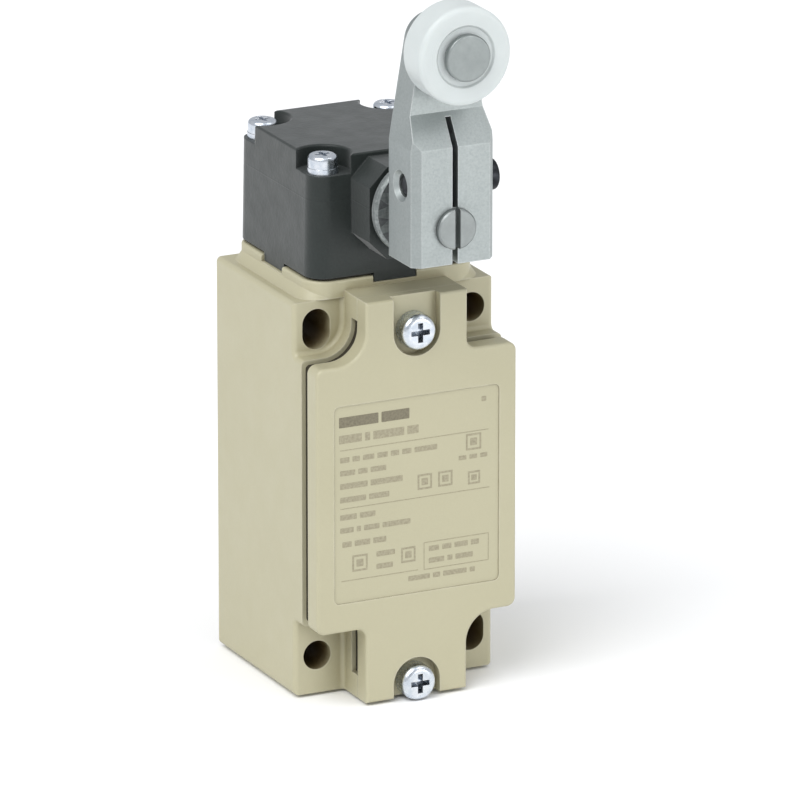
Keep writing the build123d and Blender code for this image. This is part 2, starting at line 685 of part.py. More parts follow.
# ---------------------------------------------------------------- plunger, guide, spring
with BuildPart() as head_plunger:
    with BuildSketch(level(PLUNGER_BOTTOM)):
        with Locations(HEAD_CENTRE):
            Circle(PLUNGER_RADIUS)
    extrude(amount=PLUNGER_HEAD_BOTTOM - PLUNGER_BOTTOM)
    chamfer(head_plunger.faces().sort_by(Axis.Z)[0].edges(), 0.3)
    with BuildSketch(level(PLUNGER_HEAD_BOTTOM)):
        with Locations(HEAD_CENTRE):
            Circle(PLUNGER_HEAD_RADIUS)
    extrude(amount=PLUNGER_TOP - PLUNGER_HEAD_BOTTOM)
    fillet(head_plunger.faces().sort_by(Axis.Z)[-1].edges(), 0.8)
keep(head_plunger, "head_plunger")

with BuildPart() as plunger_guide:
    with BuildSketch(level(GUIDE_BOTTOM)):
        with Locations(HEAD_CENTRE):
            Circle(GUIDE_RADIUS)
    extrude(amount=PLATFORM_TOP - GUIDE_BOTTOM)
    with BuildSketch(level(PLATFORM_TOP - GUIDE_FLANGE_HEIGHT)):
        with Locations(HEAD_CENTRE):
            Circle(GUIDE_FLANGE_RADIUS)
    extrude(amount=GUIDE_FLANGE_HEIGHT)
    with BuildSketch(level(GUIDE_BOTTOM)):
        with Locations(HEAD_CENTRE):
            Circle(PLUNGER_RADIUS + RUNNING_GAP)
    extrude(amount=BIG, mode=Mode.SUBTRACT)
    with BuildSketch(level(SPRING_SEAT)):
        with Locations(HEAD_CENTRE):
            Circle(SPRING_ROOM_RADIUS)
    extrude(amount=BIG, mode=Mode.SUBTRACT)
    with BuildSketch(level(SEAL_BOTTOM)):
        with Locations(HEAD_CENTRE):
            Circle(PLUNGER_SEAL_RADIUS + THREAD_GAP)
    extrude(amount=PLUNGER_SEAL_HEIGHT, mode=Mode.SUBTRACT)
keep(plunger_guide, "plunger_guide")

with BuildPart() as plunger_seal:
    with BuildSketch(level(SEAL_BOTTOM + THREAD_GAP)):
        with Locations(HEAD_CENTRE):
            Circle(PLUNGER_SEAL_RADIUS)
            Circle(PLUNGER_RADIUS + RUNNING_GAP, mode=Mode.SUBTRACT)
    extrude(amount=PLUNGER_SEAL_HEIGHT - 2 * THREAD_GAP)
    fillet(plunger_seal.edges(), 0.3)
keep(plunger_seal, "plunger_seal")

with BuildPart() as return_spring:
    add(coil(HEAD_CENTRE, SPRING_SEAT + THREAD_GAP, SPRING_LENGTH, 3.75, 0.35, 5))
keep(return_spring, "return_spring")

# ---------------------------------------------------------------- lever
with BuildPart() as lever:
    with BuildSketch(front(LEVER_BACK)):
        box_sketch(-LEVER_WIDTH / 2, LEVER_WIDTH / 2, LEVER_SHOULDER - 1, LEVER_SHOULDER)
        with Locations((0, ROLLER_Z)):
            Circle(ARM_END_RADIUS)
        make_hull()
        box_sketch(-LEVER_WIDTH / 2, LEVER_WIDTH / 2, LEVER_BOTTOM, LEVER_SHOULDER)
    extrude(amount=LEVER_FRONT - LEVER_BACK)
    # thin arm above the clamp block, with a sloped facet between them
    with BuildSketch(Plane.YZ):
        with BuildLine():
            Polyline(
                (-LEVER_FRONT, LEVER_SHOULDER),
                (-ARM_FRONT, FACET_TOP),
                (-ARM_FRONT, ROLLER_Z + BIG),
                (-LEVER_FRONT - BIG, ROLLER_Z + BIG),
                (-LEVER_FRONT - BIG, LEVER_SHOULDER),
                close=True,
            )
        make_face()
    extrude(amount=BIG, both=True, mode=Mode.SUBTRACT)
    front_edges = lever.faces().sort_by(Axis.Y)[0].edges().filter_by(Axis.Z)
    chamfer(front_edges, length=LEVER_CHAMFER_DEPTH, length2=LEVER_CHAMFER_WIDTH)
    fillet(lever.faces().sort_by(Axis.Y)[-1].edges(), LEVER_BACK_FILLET)
    # shaft bore, slit, pin hole
    with BuildSketch(front(0)):
        with Locations(shaft_axis):
            Circle(SHAFT_RADIUS + 0.03)
        with Locations((0, ROLLER_Z)):
            Circle(PIN_SHANK_RADIUS + 0.02)
        box_sketch(-SLIT_WIDTH / 2, SLIT_WIDTH / 2, LEVER_BOTTOM - 1, SLIT_TOP)
    extrude(amount=BIG, mode=Mode.SUBTRACT)
    # clamp bolt: threaded on the left, clearance and counterbore on the right
    with BuildSketch(Plane.YZ.offset(-LEVER_WIDTH)):
        with Locations((-CLAMP_BOLT_AXIS, CLAMP_BOLT_Z)):
            Circle(CLAMP_BOLT_RADIUS + THREAD_GAP)
    extrude(amount=2 * LEVER_WIDTH, mode=Mode.SUBTRACT)
    with BuildSketch(Plane.YZ.offset(CLAMP_BOLT_SEAT)):
        with Locations((-CLAMP_BOLT_AXIS, CLAMP_BOLT_Z)):
            Circle(CLAMP_BOLT_HEAD_RADIUS + 0.2)
    extrude(amount=LEVER_WIDTH, mode=Mode.SUBTRACT)
    with BuildSketch(Plane.YZ.offset(-LEVER_WIDTH / 2)):
        with Locations((-CLAMP_BOLT_AXIS, CLAMP_BOLT_Z)):
            Circle(CLAMP_BOLT_RADIUS + CLAMP_HOLE_RIM)
    extrude(amount=CLAMP_HOLE_RIM, taper=45, mode=Mode.SUBTRACT)
keep(lever, "lever")

with BuildPart() as clamp_bolt:
    with BuildSketch():
        Circle(CLAMP_BOLT_HEAD_RADIUS)
    extrude(amount=CLAMP_BOLT_HEAD)
    fillet(clamp_bolt.faces().sort_by(Axis.Z)[-1].edges(), 0.5)
    with BuildSketch():
        Circle(CLAMP_BOLT_RADIUS)
    extrude(amount=-CLAMP_BOLT_LENGTH)
    chamfer(clamp_bolt.faces().sort_by(Axis.Z)[0].edges(), 0.5)
    with BuildSketch(level(CLAMP_BOLT_HEAD)):
        RegularPolygon(CLAMP_BOLT_SOCKET, 6, major_radius=False)
    extrude(amount=-CLAMP_BOLT_HEAD / 2, mode=Mode.SUBTRACT)
bolt_plane = Plane.YZ.offset(CLAMP_BOLT_SEAT + CLAMP_WASHER)
with BuildPart() as lever_bolt:
    with Locations(bolt_plane):
        with Locations((-CLAMP_BOLT_AXIS, CLAMP_BOLT_Z)):
            add(clamp_bolt.part)
keep(lever_bolt, "lever_bolt")

clamp_washer = spring_washer(CLAMP_BOLT_RADIUS + 0.1, CLAMP_BOLT_HEAD_RADIUS - 0.05, CLAMP_WASHER)
with BuildPart() as lever_bolt_washer:
    with Locations(Plane.YZ.offset(CLAMP_BOLT_SEAT)):
        with Locations((-CLAMP_BOLT_AXIS, CLAMP_BOLT_Z)):
            add(clamp_washer)
keep(lever_bolt_washer, "lever_bolt_washer")

# ---------------------------------------------------------------- roller and its pin
with BuildPart() as roller:
    with BuildSketch(front(ROLLER_BACK)):
        with Locations((0, ROLLER_Z)):
            Circle(ROLLER_RADIUS)
            Circle(PIN_RADIUS + RUNNING_GAP, mode=Mode.SUBTRACT)
    extrude(amount=ROLLER_WIDTH)
    rims = roller.edges().filter_by(GeomType.CIRCLE).group_by(SortBy.RADIUS)[-1]
    fillet(rims, 0.9)
    # shallow dish around the pin's head
    with BuildSketch(front(ROLLER_BACK + ROLLER_WIDTH)):
        with Locations((0, ROLLER_Z)):
            Circle(PIN_HEAD_RADIUS + 1.4)
    extrude(amount=-0.35, taper=40, mode=Mode.SUBTRACT)
keep(roller, "roller")

with BuildPart() as roller_pin:
    for start, end, radius in ROLLER_PIN_STEPS:
        with BuildSketch(front(start)):
            with Locations((0, ROLLER_Z)):
                Circle(radius)
        extrude(amount=end - start)
    fillet(roller_pin.faces().sort_by(Axis.Y)[0].edges(), 0.3)
    fillet(roller_pin.faces().sort_by(Axis.Y)[-1].edges(), 0.4)
keep(roller_pin, "roller_pin")

with BuildPart() as roller_washer:
    with BuildSketch(front(ARM_FRONT)):
        with Locations((0, ROLLER_Z)):
            Circle(PIN_RADIUS + 2.2)
            Circle(PIN_RADIUS + THREAD_GAP, mode=Mode.SUBTRACT)
    extrude(amount=ROLLER_BACK - ARM_FRONT - 0.05)
keep(roller_washer, "roller_washer")

# ---------------------------------------------------------------- built-in switch: case
with BuildPart() as switch_block_case:
    with BuildSketch(front(BLOCK_BACK)):
        with Locations((0, (BLOCK_TOP + BLOCK_BOTTOM) / 2)):
            RectangleRounded(BLOCK_WIDTH, BLOCK_TOP - BLOCK_BOTTOM, 1.2)
    extrude(amount=BLOCK_CASE_FRONT - BLOCK_BACK)
    with BuildSketch(front(CHAMBER_BACK)):
        box_sketch(-CHAMBER_WIDTH / 2, CHAMBER_WIDTH / 2, CHAMBER_BOTTOM, CHAMBER_TOP)
    extrude(amount=BIG, mode=Mode.SUBTRACT)
    with BuildSketch(level(CHAMBER_TOP)):
        with Locations(HEAD_CENTRE):
            Circle(CARRIER_STEM_RADIUS + RUNNING_GAP)
    extrude(amount=BIG, mode=Mode.SUBTRACT)
    with BuildSketch(level(CHAMBER_BOTTOM)):
        with Locations(HEAD_CENTRE):
            Circle(SPRING_PEG_RADIUS)
    extrude(amount=1.4)
    with BuildSketch(front(0)):
        with Locations(*BLOCK_SCREW_SPOTS):
            Circle(BLOCK_SCREW_RADIUS + 0.1)
    extrude(amount=BIG, mode=Mode.SUBTRACT)
    with BuildSketch(front(TERMINAL_SCREW_TIP - 0.5)):
        with Locations(*TERMINAL_SPOTS):
            Circle(TERMINAL_SCREW_RADIUS + THREAD_GAP)
    extrude(amount=BIG, mode=Mode.SUBTRACT)
keep(switch_block_case, "switch_block_case")

with BuildPart() as switch_block_cover:
    with BuildSketch(front(BLOCK_CASE_FRONT)):
        with Locations((0, (BLOCK_TOP + BLOCK_BOTTOM) / 2)):
            RectangleRounded(BLOCK_WIDTH, BLOCK_TOP - BLOCK_BOTTOM, 1.2)
        with Locations(*BLOCK_SCREW_SPOTS):
            Circle(BLOCK_SCREW_RADIUS + 0.1, mode=Mode.SUBTRACT)
        with Locations(*TERMINAL_SPOTS):
            Circle(TERMINAL_SCREW_RADIUS + THREAD_GAP, mode=Mode.SUBTRACT)
        for z in (NC_ARM_Z, NO_ARM_Z):
            for side in (-1, 1):
                with Locations((side * (ARM_INNER_X + ARM_OUTER_X) / 2, z + STRIP / 2)):
                    Rectangle(ARM_OUTER_X - ARM_INNER_X + 0.1, STRIP + 0.1, mode=Mode.SUBTRACT)
    extrude(amount=BLOCK_FRONT - BLOCK_CASE_FRONT)
    # barriers between the four terminals
    with BuildSketch(front(BLOCK_FRONT)):
        box_sketch(-BARRIER / 2, BARRIER / 2, BLOCK_BOTTOM + 2, BLOCK_TOP - 2)
        box_sketch(-BLOCK_WIDTH / 2 + 1, BLOCK_WIDTH / 2 - 1, 4 - BARRIER / 2, 4 + BARRIER / 2)
    extrude(amount=3.0)
keep(switch_block_cover, "switch_block_cover")

# ---------------------------------------------------------------- carrier and bridges
with BuildPart() as contact_carrier:
    with BuildSketch(level(CARRIER_BOTTOM)):
        with Locations(HEAD_CENTRE):
            Rectangle(CARRIER_WIDTH, CARRIER_DEPTH)
    extrude(amount=CARRIER_SHOULDER - CARRIER_BOTTOM)
    with BuildSketch(level(CARRIER_SHOULDER)):
        with Locations(HEAD_CENTRE):
            Circle(CARRIER_STEM_RADIUS)
    extrude(amount=CARRIER_TOP - CARRIER_SHOULDER)
    with BuildSketch(level(CARRIER_BOTTOM)):
        with Locations(HEAD_CENTRE):
            Circle(SPRING_PEG_RADIUS)
    extrude(amount=-1.2)
    for window_bottom in (NC_WINDOW_BOTTOM, NO_WINDOW_BOTTOM):
        with BuildSketch(Plane.YZ):
            with Locations((-HEAD_AXIS, window_bottom + WINDOW_HEIGHT / 2)):
                Rectangle(WINDOW_DEPTH, WINDOW_HEIGHT)
        extrude(amount=BIG, both=True, mode=Mode.SUBTRACT)
keep(contact_carrier, "contact_carrier")


def contact_bridge(bottom, rivet_bottom):
    """Moving contact bar with a rivet at each end."""
    with BuildPart() as bridge:
        with BuildSketch(level(bottom)):
            with Locations(HEAD_CENTRE):
                RectangleRounded(BRIDGE_LENGTH, BRIDGE_WIDTH, 0.8)
        extrude(amount=BRIDGE_THICKNESS)
        with BuildSketch(level(rivet_bottom)):
            with Locations((-RIVET_X, -HEAD_AXIS), (RIVET_X, -HEAD_AXIS)):
                Circle(RIVET_RADIUS)
        extrude(amount=RIVET_HEIGHT)
    return bridge


nc_bridge = contact_bridge(NC_BRIDGE_Z, NC_BRIDGE_Z + BRIDGE_THICKNESS)
keep(nc_bridge, "nc_bridge")

no_bridge = contact_bridge(NO_BRIDGE_Z, NO_BRIDGE_Z - RIVET_HEIGHT)
keep(no_bridge, "no_bridge")

nc_spring_bottom = NC_WINDOW_BOTTOM + THREAD_GAP
nc_spring_length = NC_BRIDGE_Z - NC_WINDOW_BOTTOM - 2 * THREAD_GAP
no_spring_bottom = NO_BRIDGE_Z + BRIDGE_THICKNESS + THREAD_GAP
no_spring_length = NO_WINDOW_BOTTOM + WINDOW_HEIGHT - no_spring_bottom - THREAD_GAP
with BuildPart() as contact_springs:
    add(coil(HEAD_CENTRE, nc_spring_bottom, nc_spring_length, 1.4, 0.22, 3))
    add(coil(HEAD_CENTRE, no_spring_bottom, no_spring_length, 1.4, 0.22, 3))
keep(contact_springs, "contact_springs")

with BuildPart() as carrier_spring:
    add(
        coil(
            HEAD_CENTRE,
            CHAMBER_BOTTOM + THREAD_GAP,
            CARRIER_BOTTOM - CHAMBER_BOTTOM - 2 * THREAD_GAP,
            1.9,
            0.25,
            5,
        )
    )
keep(carrier_spring, "carrier_spring")


# ---------------------------------------------------------------- terminals
def terminal_pair(arm_bottom, direction):
    """Two bent strips: contact arm inside the block, screw tongue on its front."""
    tongue_edge = arm_bottom if direction > 0 else arm_bottom + STRIP
    tongue_end = tongue_edge + direction * TONGUE_RISE
    rivet_level = arm_bottom - RIVET_HEIGHT if direction > 0 else arm_bottom + STRIP
    with BuildPart() as pair:
        for side in (-1, 1):
            inner, outer, tip = (side * x for x in (ARM_INNER_X, ARM_OUTER_X, TONGUE_OUTER_X))
            with BuildSketch(level(arm_bottom)):
                box_sketch(min(inner, outer), max(inner, outer), -BLOCK_FRONT - STRIP, -ARM_BACK)
            extrude(amount=STRIP)
            with BuildSketch(level(rivet_level)):
                with Locations((side * RIVET_X, -HEAD_AXIS)):
                    Circle(RIVET_RADIUS)
            extrude(amount=RIVET_HEIGHT)
            tongue_low, tongue_high = sorted((tongue_edge, tongue_end))
            with BuildSketch(front(BLOCK_FRONT)):
                box_sketch(min(inner, tip), max(inner, tip), tongue_low, tongue_high)
                with Locations((side * TERMINAL_X, tongue_edge + direction * TERMINAL_OFFSET)):
                    Circle(TERMINAL_SCREW_RADIUS + 0.1, mode=Mode.SUBTRACT)
            extrude(amount=STRIP)
    return pair


nc_terminals = terminal_pair(NC_ARM_Z, 1)
keep(nc_terminals, "nc_terminals")

no_terminals = terminal_pair(NO_ARM_Z, -1)
keep(no_terminals, "no_terminals")

terminal_washer = spring_washer(TERMINAL_SCREW_RADIUS + 0.1, 3.0, TERMINAL_WASHER)
with BuildPart() as terminal_washers:
    with Locations(front(BLOCK_FRONT + STRIP)):
        with Locations(*TERMINAL_SPOTS):
            add(terminal_washer)
keep(terminal_washers, "terminal_washers")

terminal_seat = BLOCK_FRONT + STRIP + TERMINAL_WASHER
terminal_screw = pan_screw(2.8, 2.0, TERMINAL_SCREW_RADIUS, terminal_seat - TERMINAL_SCREW_TIP)
with BuildPart() as terminal_screws:
    with Locations(front(terminal_seat)):
        with Locations(*TERMINAL_SPOTS):
            add(terminal_screw)
keep(terminal_screws, "terminal_screws")

block_screw = pan_screw(2.4, 1.8, BLOCK_SCREW_RADIUS, BLOCK_FRONT - BLIND_WALL - 0.2)
with BuildPart() as block_screws:
    with Locations(front(BLOCK_FRONT)):
        with Locations(*BLOCK_SCREW_SPOTS):
            add(block_screw)
keep(block_screws, "block_screws")

earth_screw = pan_screw(2.8, 2.0, TERMINAL_SCREW_RADIUS, GROUND_SEAT - BLIND_WALL - 0.2)
with BuildPart() as ground_screw:
    with Locations(front(GROUND_SEAT)):
        with Locations(GROUND_SPOT):
            add(earth_screw)
keep(ground_screw, "ground_screw")
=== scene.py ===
import json
import math

import bmesh
import bpy
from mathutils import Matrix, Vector


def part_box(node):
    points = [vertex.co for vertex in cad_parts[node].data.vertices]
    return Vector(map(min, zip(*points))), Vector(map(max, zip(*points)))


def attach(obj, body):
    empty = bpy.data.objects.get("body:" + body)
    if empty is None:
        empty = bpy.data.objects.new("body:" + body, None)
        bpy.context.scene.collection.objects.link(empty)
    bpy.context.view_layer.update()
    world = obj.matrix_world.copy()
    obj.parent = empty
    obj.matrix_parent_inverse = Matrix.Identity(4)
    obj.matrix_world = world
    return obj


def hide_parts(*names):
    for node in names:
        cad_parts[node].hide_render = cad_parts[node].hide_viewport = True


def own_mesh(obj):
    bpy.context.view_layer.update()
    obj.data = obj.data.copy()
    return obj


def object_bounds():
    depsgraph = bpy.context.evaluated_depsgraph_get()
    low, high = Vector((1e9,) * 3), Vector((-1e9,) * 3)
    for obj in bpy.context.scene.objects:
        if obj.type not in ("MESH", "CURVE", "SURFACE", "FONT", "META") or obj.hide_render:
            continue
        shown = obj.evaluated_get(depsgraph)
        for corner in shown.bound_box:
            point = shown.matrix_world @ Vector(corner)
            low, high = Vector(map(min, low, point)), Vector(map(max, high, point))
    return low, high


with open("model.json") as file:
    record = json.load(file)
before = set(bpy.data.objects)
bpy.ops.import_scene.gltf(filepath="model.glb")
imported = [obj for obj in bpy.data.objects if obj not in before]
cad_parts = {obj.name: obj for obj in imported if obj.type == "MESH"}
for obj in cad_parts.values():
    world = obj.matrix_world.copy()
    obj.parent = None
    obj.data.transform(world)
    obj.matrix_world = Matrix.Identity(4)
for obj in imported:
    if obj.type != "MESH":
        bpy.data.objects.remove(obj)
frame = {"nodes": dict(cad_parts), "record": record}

cad_low, cad_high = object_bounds()
MM = 0.001


def paint(red, green, blue):
    """A display colour, 0 to 255, as the linear colour that the shader nodes take."""
    linear = []
    for level in (red, green, blue):
        share = level / 255
        linear.append(share / 12.92 if share <= 0.04045 else ((share + 0.055) / 1.055) ** 2.4)
    return (*linear, 1.0)


# ---------------------------------------------------------------- node material helper


class Recipe:
    """One node material. Its textures lie in metres, so that their grain has a real size."""

    def __init__(self, name, rounding=0.12 * MM):
        self.material = bpy.data.materials.new(name)
        self.material.use_nodes = True
        self.tree = self.material.node_tree
        self.shader = self.tree.nodes["Principled BSDF"]
        self.place = self.node("ShaderNodeTexCoord").outputs["Object"]
        self.normal = self.node("ShaderNodeBevel", {"samples": 4}, {"Radius": rounding}).outputs[0]

    def node(self, kind, settings=None, inputs=None):
        """A new node with these settings, its inputs fed with values or other nodes' outputs."""
        made = self.tree.nodes.new(kind)
        for key, value in (settings or {}).items():
            setattr(made, key, value)
        for key, value in (inputs or {}).items():
            self.feed(made.inputs[key], value)
        return made

    def feed(self, socket, value):
        """Links an output to the socket, or sets the socket's own value."""
        if isinstance(value, bpy.types.NodeSocket):
            self.tree.links.new(value, socket)
        else:
            socket.default_value = value

    def set(self, **inputs):
        """Sets inputs of the shader, given with _ for the spaces in their names."""
        for key, value in inputs.items():
            self.feed(self.shader.inputs[key.replace("_", " ")], value)

    def maths(self, operation, first, second=0.0):
        made = self.node("ShaderNodeMath", {"operation": operation})
        for socket, value in zip(made.inputs, (first, second)):
            self.feed(socket, value)
        return made.outputs[0]

    def times(self, first, second):
        return self.maths("MULTIPLY", first, second)

    def spread(self, value, low, high, new_low=0.0, new_high=1.0):
        """Maps the range low..high of a value to new_low..new_high, and holds it there."""
        inputs = {
            "Value": value,
            "From Min": low,
            "From Max": high,
            "To Min": new_low,
            "To Max": new_high,
        }
        return self.node("ShaderNodeMapRange", {}, inputs).outputs[0]

    def noise(self, size, detail=3.0, rough=0.5, stretch=(1, 1, 1)):
        """Fractal noise, 0 to 1, with lumps of this size, drawn out along an axis by stretch."""
        scale = [1 / (size * share) for share in stretch]
        place = self.node("ShaderNodeMapping", {}, {"Vector": self.place, "Scale": scale})
        inputs = {
            "Vector": place.outputs[0],
            "Scale": 1.0,
            "Detail": detail,
            "Roughness": rough,
        }
        return self.node("ShaderNodeTexNoise", {}, inputs).outputs["Fac"]

    def cells(self, size):
        """Distance to the middle of random cells of this size."""
        inputs = {"Vector": self.place, "Scale": 1 / size}
        return self.node("ShaderNodeTexVoronoi", {}, inputs).outputs["Distance"]

    def blend(self, mask, first, second):
        """Colour first where the mask is 0 and second where it is 1."""
        mask_socket, first_socket, second_socket = 0, 6, 7
        colour_result = 2
        made = self.node("ShaderNodeMix", {"data_type": "RGBA"})
        for index, value in ((mask_socket, mask), (first_socket, first), (second_socket, second)):
            self.feed(made.inputs[index], value)
        return made.outputs[colour_result]

    def edges(self, radius):
        """1 on sharp outer and inner edges within about this radius of them, fading to 0."""
        least_tilt = 0.004
        full_tilt = 0.12
        round_off = self.node("ShaderNodeBevel", {"samples": 6}, {"Radius": radius}).outputs[0]
        true = self.node("ShaderNodeNewGeometry").outputs["Normal"]
        dot = self.node("ShaderNodeVectorMath", {"operation": "DOT_PRODUCT"})
        self.feed(dot.inputs[0], round_off)
        self.feed(dot.inputs[1], true)
        return self.spread(self.maths("SUBTRACT", 1.0, dot.outputs["Value"]), least_tilt, full_tilt)

    def shut_in(self, distance, start=0.75, full=0.25, own_walls=False):
        """1 deep in corners and recesses, where shade is painted, and 0 on open faces.

        The shares start and full are how open a place is where the painted shade begins and where it
        is full.
        With own_walls, only the piece's own surfaces shut it in.
        """
        settings = {"samples": 6, "only_local": own_walls}
        made = self.node("ShaderNodeAmbientOcclusion", settings, {"Distance": distance})
        return self.spread(made.outputs["AO"], start, full)

    def relief(self, height, depth):
        """Adds bumps of this depth to the surface."""
        inputs = {"Height": height, "Distance": depth, "Normal": self.normal}
        self.normal = self.node("ShaderNodeBump", {}, inputs).outputs[0]
        self.set(Normal=self.normal)

    def axis_distance(self, x, z):
        """Distance from a line that runs front to back at x, z."""
        split = self.node("ShaderNodeSeparateXYZ", {}, {"Vector": self.place})
        across = self.maths("SUBTRACT", split.outputs["X"], x)
        up = self.maths("SUBTRACT", split.outputs["Z"], z)
        squares = self.maths("ADD", self.times(across, across), self.times(up, up))
        return self.maths("SQRT", squares)

    def height_above(self, z):
        """Height over the level z, negative below it."""
        split = self.node("ShaderNodeSeparateXYZ", {}, {"Vector": self.place})
        return self.maths("SUBTRACT", split.outputs["Z"], z)


# ---------------------------------------------------------------- materials


def beige_enamel():
    """Baked beige paint: satin, with fine orange peel, pale rubbed edges, painted shade in corners
    and painted shade deep in the holes.
    """
    r = Recipe("beige_enamel", rounding=0.2 * MM)
    body = r.blend(r.noise(16 * MM, 3), paint(178, 173, 144), paint(184, 179, 151))
    speck = r.spread(r.noise(0.5 * MM, 2), 0.35, 0.65)
    grained = r.blend(r.times(speck, 0.10), body, paint(172, 165, 139))
    worn = r.times(r.edges(0.5 * MM), r.spread(r.noise(2.5 * MM, 4), 0.3, 0.7, 0.15, 0.6))
    edged = r.blend(worn, grained, paint(212, 208, 188))
    # Painted shade: the paint is darkened to a brownish tone in corners and creases, where shade
    # falls.
    painted_shade = r.times(r.shut_in(7 * MM, start=0.85, full=0.35, own_walls=True), 0.6)
    corner_shaded = r.blend(painted_shade, edged, paint(132, 122, 84))
    # Painted shade: deep holes and recesses are darkened to a dark brown, as the shade inside them.
    hole_shade = r.shut_in(14 * MM, start=0.5, full=0.14, own_walls=True)
    r.set(Base_Color=r.blend(hole_shade, corner_shaded, paint(88, 68, 34)))
    r.set(Roughness=r.spread(r.noise(4 * MM, 4), 0.3, 0.7, 0.36, 0.5))
    r.relief(r.noise(1.1 * MM, 1.5), 0.018 * MM)
    r.relief(r.noise(0.28 * MM, 2), 0.006 * MM)
    return r.material


def dark_casting():
    """Satin dark grey paint on the head's die casting, with the mould's parting line half way up."""
    r = Recipe("dark_casting", rounding=0.25 * MM)
    body = r.blend(r.noise(9 * MM, 3), paint(36, 42, 40), paint(44, 50, 48))
    speck = r.spread(r.noise(0.45 * MM, 2), 0.35, 0.65)
    grained = r.blend(r.times(speck, 0.25), body, paint(30, 33, 33))
    worn = r.times(r.edges(0.45 * MM), r.spread(r.noise(1.6 * MM, 4), 0.35, 0.7, 0.0, 0.4))
    r.set(Base_Color=r.blend(worn, grained, paint(84, 88, 87)))
    r.set(Specular_IOR_Level=0.32, Sheen_Weight=0.3, Sheen_Roughness=0.4)
    r.set(Roughness=r.spread(r.noise(3 * MM, 4), 0.3, 0.7, 0.34, 0.46))
    r.relief(r.noise(0.7 * MM, 3), 0.03 * MM)
    r.relief(r.noise(0.22 * MM, 2), 0.008 * MM)
    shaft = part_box("rotary_shaft")
    middle = (shaft[0].z + shaft[1].z) / 2
    line_core = 0.02 * MM
    line_edge = 0.14 * MM
    line_height = 0.02 * MM
    from_line = r.maths("ABSOLUTE", r.height_above(middle))
    r.relief(r.spread(from_line, line_core, line_edge, 1.0, 0.0), line_height)
    return r.material


def cast_aluminium():
    """Blasted die-cast aluminium: matt light grey with a fine even grain and polished edges."""
    r = Recipe("cast_aluminium", rounding=0.2 * MM)
    body = r.blend(r.noise(5 * MM, 4), paint(162, 168, 167), paint(174, 180, 179))
    speck = r.spread(r.noise(0.35 * MM, 3), 0.3, 0.7)
    grained = r.blend(r.times(speck, 0.3), body, paint(148, 155, 154))
    worn = r.times(r.edges(0.35 * MM), 0.5)
    r.set(Base_Color=r.blend(worn, grained, paint(232, 235, 234)))
    r.set(Metallic=1.0)
    r.set(Roughness=r.spread(speck, 0, 1, 0.42, 0.56))
    r.relief(r.noise(0.4 * MM, 3, 0.6), 0.022 * MM)
    return r.material


def white_nylon():
    """Turned white nylon, a little see-through, with faint turning rings about the pin."""
    r = Recipe("white_nylon", rounding=0.2 * MM)
    low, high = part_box("roller")
    ring_pitch = 0.4 * MM
    ring = r.axis_distance((low.x + high.x) / 2, (low.z + high.z) / 2)
    turning = r.maths("SINE", r.times(ring, 2 * math.pi / ring_pitch))
    body = r.blend(r.noise(4 * MM, 3), paint(198, 204, 203), paint(206, 212, 211))
    # Painted shade: the nylon is darkened in its corners and recesses, where shade falls.
    painted_shade = r.times(r.shut_in(1.5 * MM), 0.4)
    r.set(Base_Color=r.blend(painted_shade, body, paint(178, 185, 185)))
    r.set(Subsurface_Weight=0.35, Subsurface_Scale=1.5 * MM)
    r.set(Subsurface_Radius=(1.0, 0.95, 0.9))
    r.set(Roughness=r.spread(r.noise(1.5 * MM, 3), 0.3, 0.7, 0.34, 0.44))
    r.relief(turning, 0.002 * MM)
    r.relief(r.noise(0.6 * MM, 2), 0.006 * MM)
    return r.material


def plated_steel(name, base, tint, roughness):
    """Plated or coated steel: two near colours in soft patches, bright edges, fine grain."""
    r = Recipe(name, rounding=0.1 * MM)
    body = r.blend(r.spread(r.noise(1.4 * MM, 3), 0.35, 0.65), paint(*base), paint(*tint))
    # Painted shade: the plating is darkened in its recesses, where shade falls.
    painted_shade = r.times(r.shut_in(0.8 * MM), 0.6)
    shaded = r.blend(painted_shade, body, paint(*[level * 0.45 for level in base]))
    brighter = [min(255, level * 1.2) for level in base]
    r.set(Base_Color=r.blend(r.times(r.edges(0.2 * MM), 0.5), shaded, paint(*brighter)))
    r.set(Metallic=1.0)
    r.set(Roughness=r.spread(r.noise(0.8 * MM, 4), 0.3, 0.7, roughness, roughness + 0.14))
    r.relief(r.noise(0.3 * MM, 3), 0.004 * MM)
    return r.material


def turned_steel(name, node, base):
    """Steel turned on a lathe, with its rings centred on the node's own axis."""
    r = Recipe(name, rounding=0.12 * MM)
    low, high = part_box(node)
    ring_pitch = 0.22 * MM
    ring = r.axis_distance((low.x + high.x) / 2, (low.z + high.z) / 2)
    wobble = r.times(r.noise(0.5 * MM, 3), 0.10 * MM)
    phase = r.times(r.maths("ADD", ring, wobble), 2 * math.pi / ring_pitch)
    turning = r.maths("SINE", phase)
    body = r.blend(r.noise(1.8 * MM, 4), paint(*base), paint(*[level * 0.88 for level in base]))
    # Painted shade: the steel is darkened in its corners and recesses, where shade falls.
    painted_shade = r.times(r.shut_in(0.9 * MM), 0.55)
    r.set(Base_Color=r.blend(painted_shade, body, paint(*[level * 0.4 for level in base])))
    r.set(Metallic=0.9)
    r.set(Roughness=r.spread(r.noise(0.5 * MM, 3), 0.3, 0.7, 0.34, 0.48))
    r.relief(turning, 0.003 * MM)
    return r.material


def spring_wire():
    """Drawn steel wire with fine lengthwise streaks."""
    r = Recipe("spring_wire", rounding=0.05 * MM)
    streak = r.noise(0.12 * MM, 3, stretch=(6, 6, 1))
    r.set(Base_Color=r.blend(streak, paint(176, 180, 182), paint(132, 134, 136)))
    r.set(Metallic=1.0)
    r.set(Roughness=r.spread(streak, 0.3, 0.7, 0.26, 0.42))
    r.relief(streak, 0.003 * MM)
    return r.material


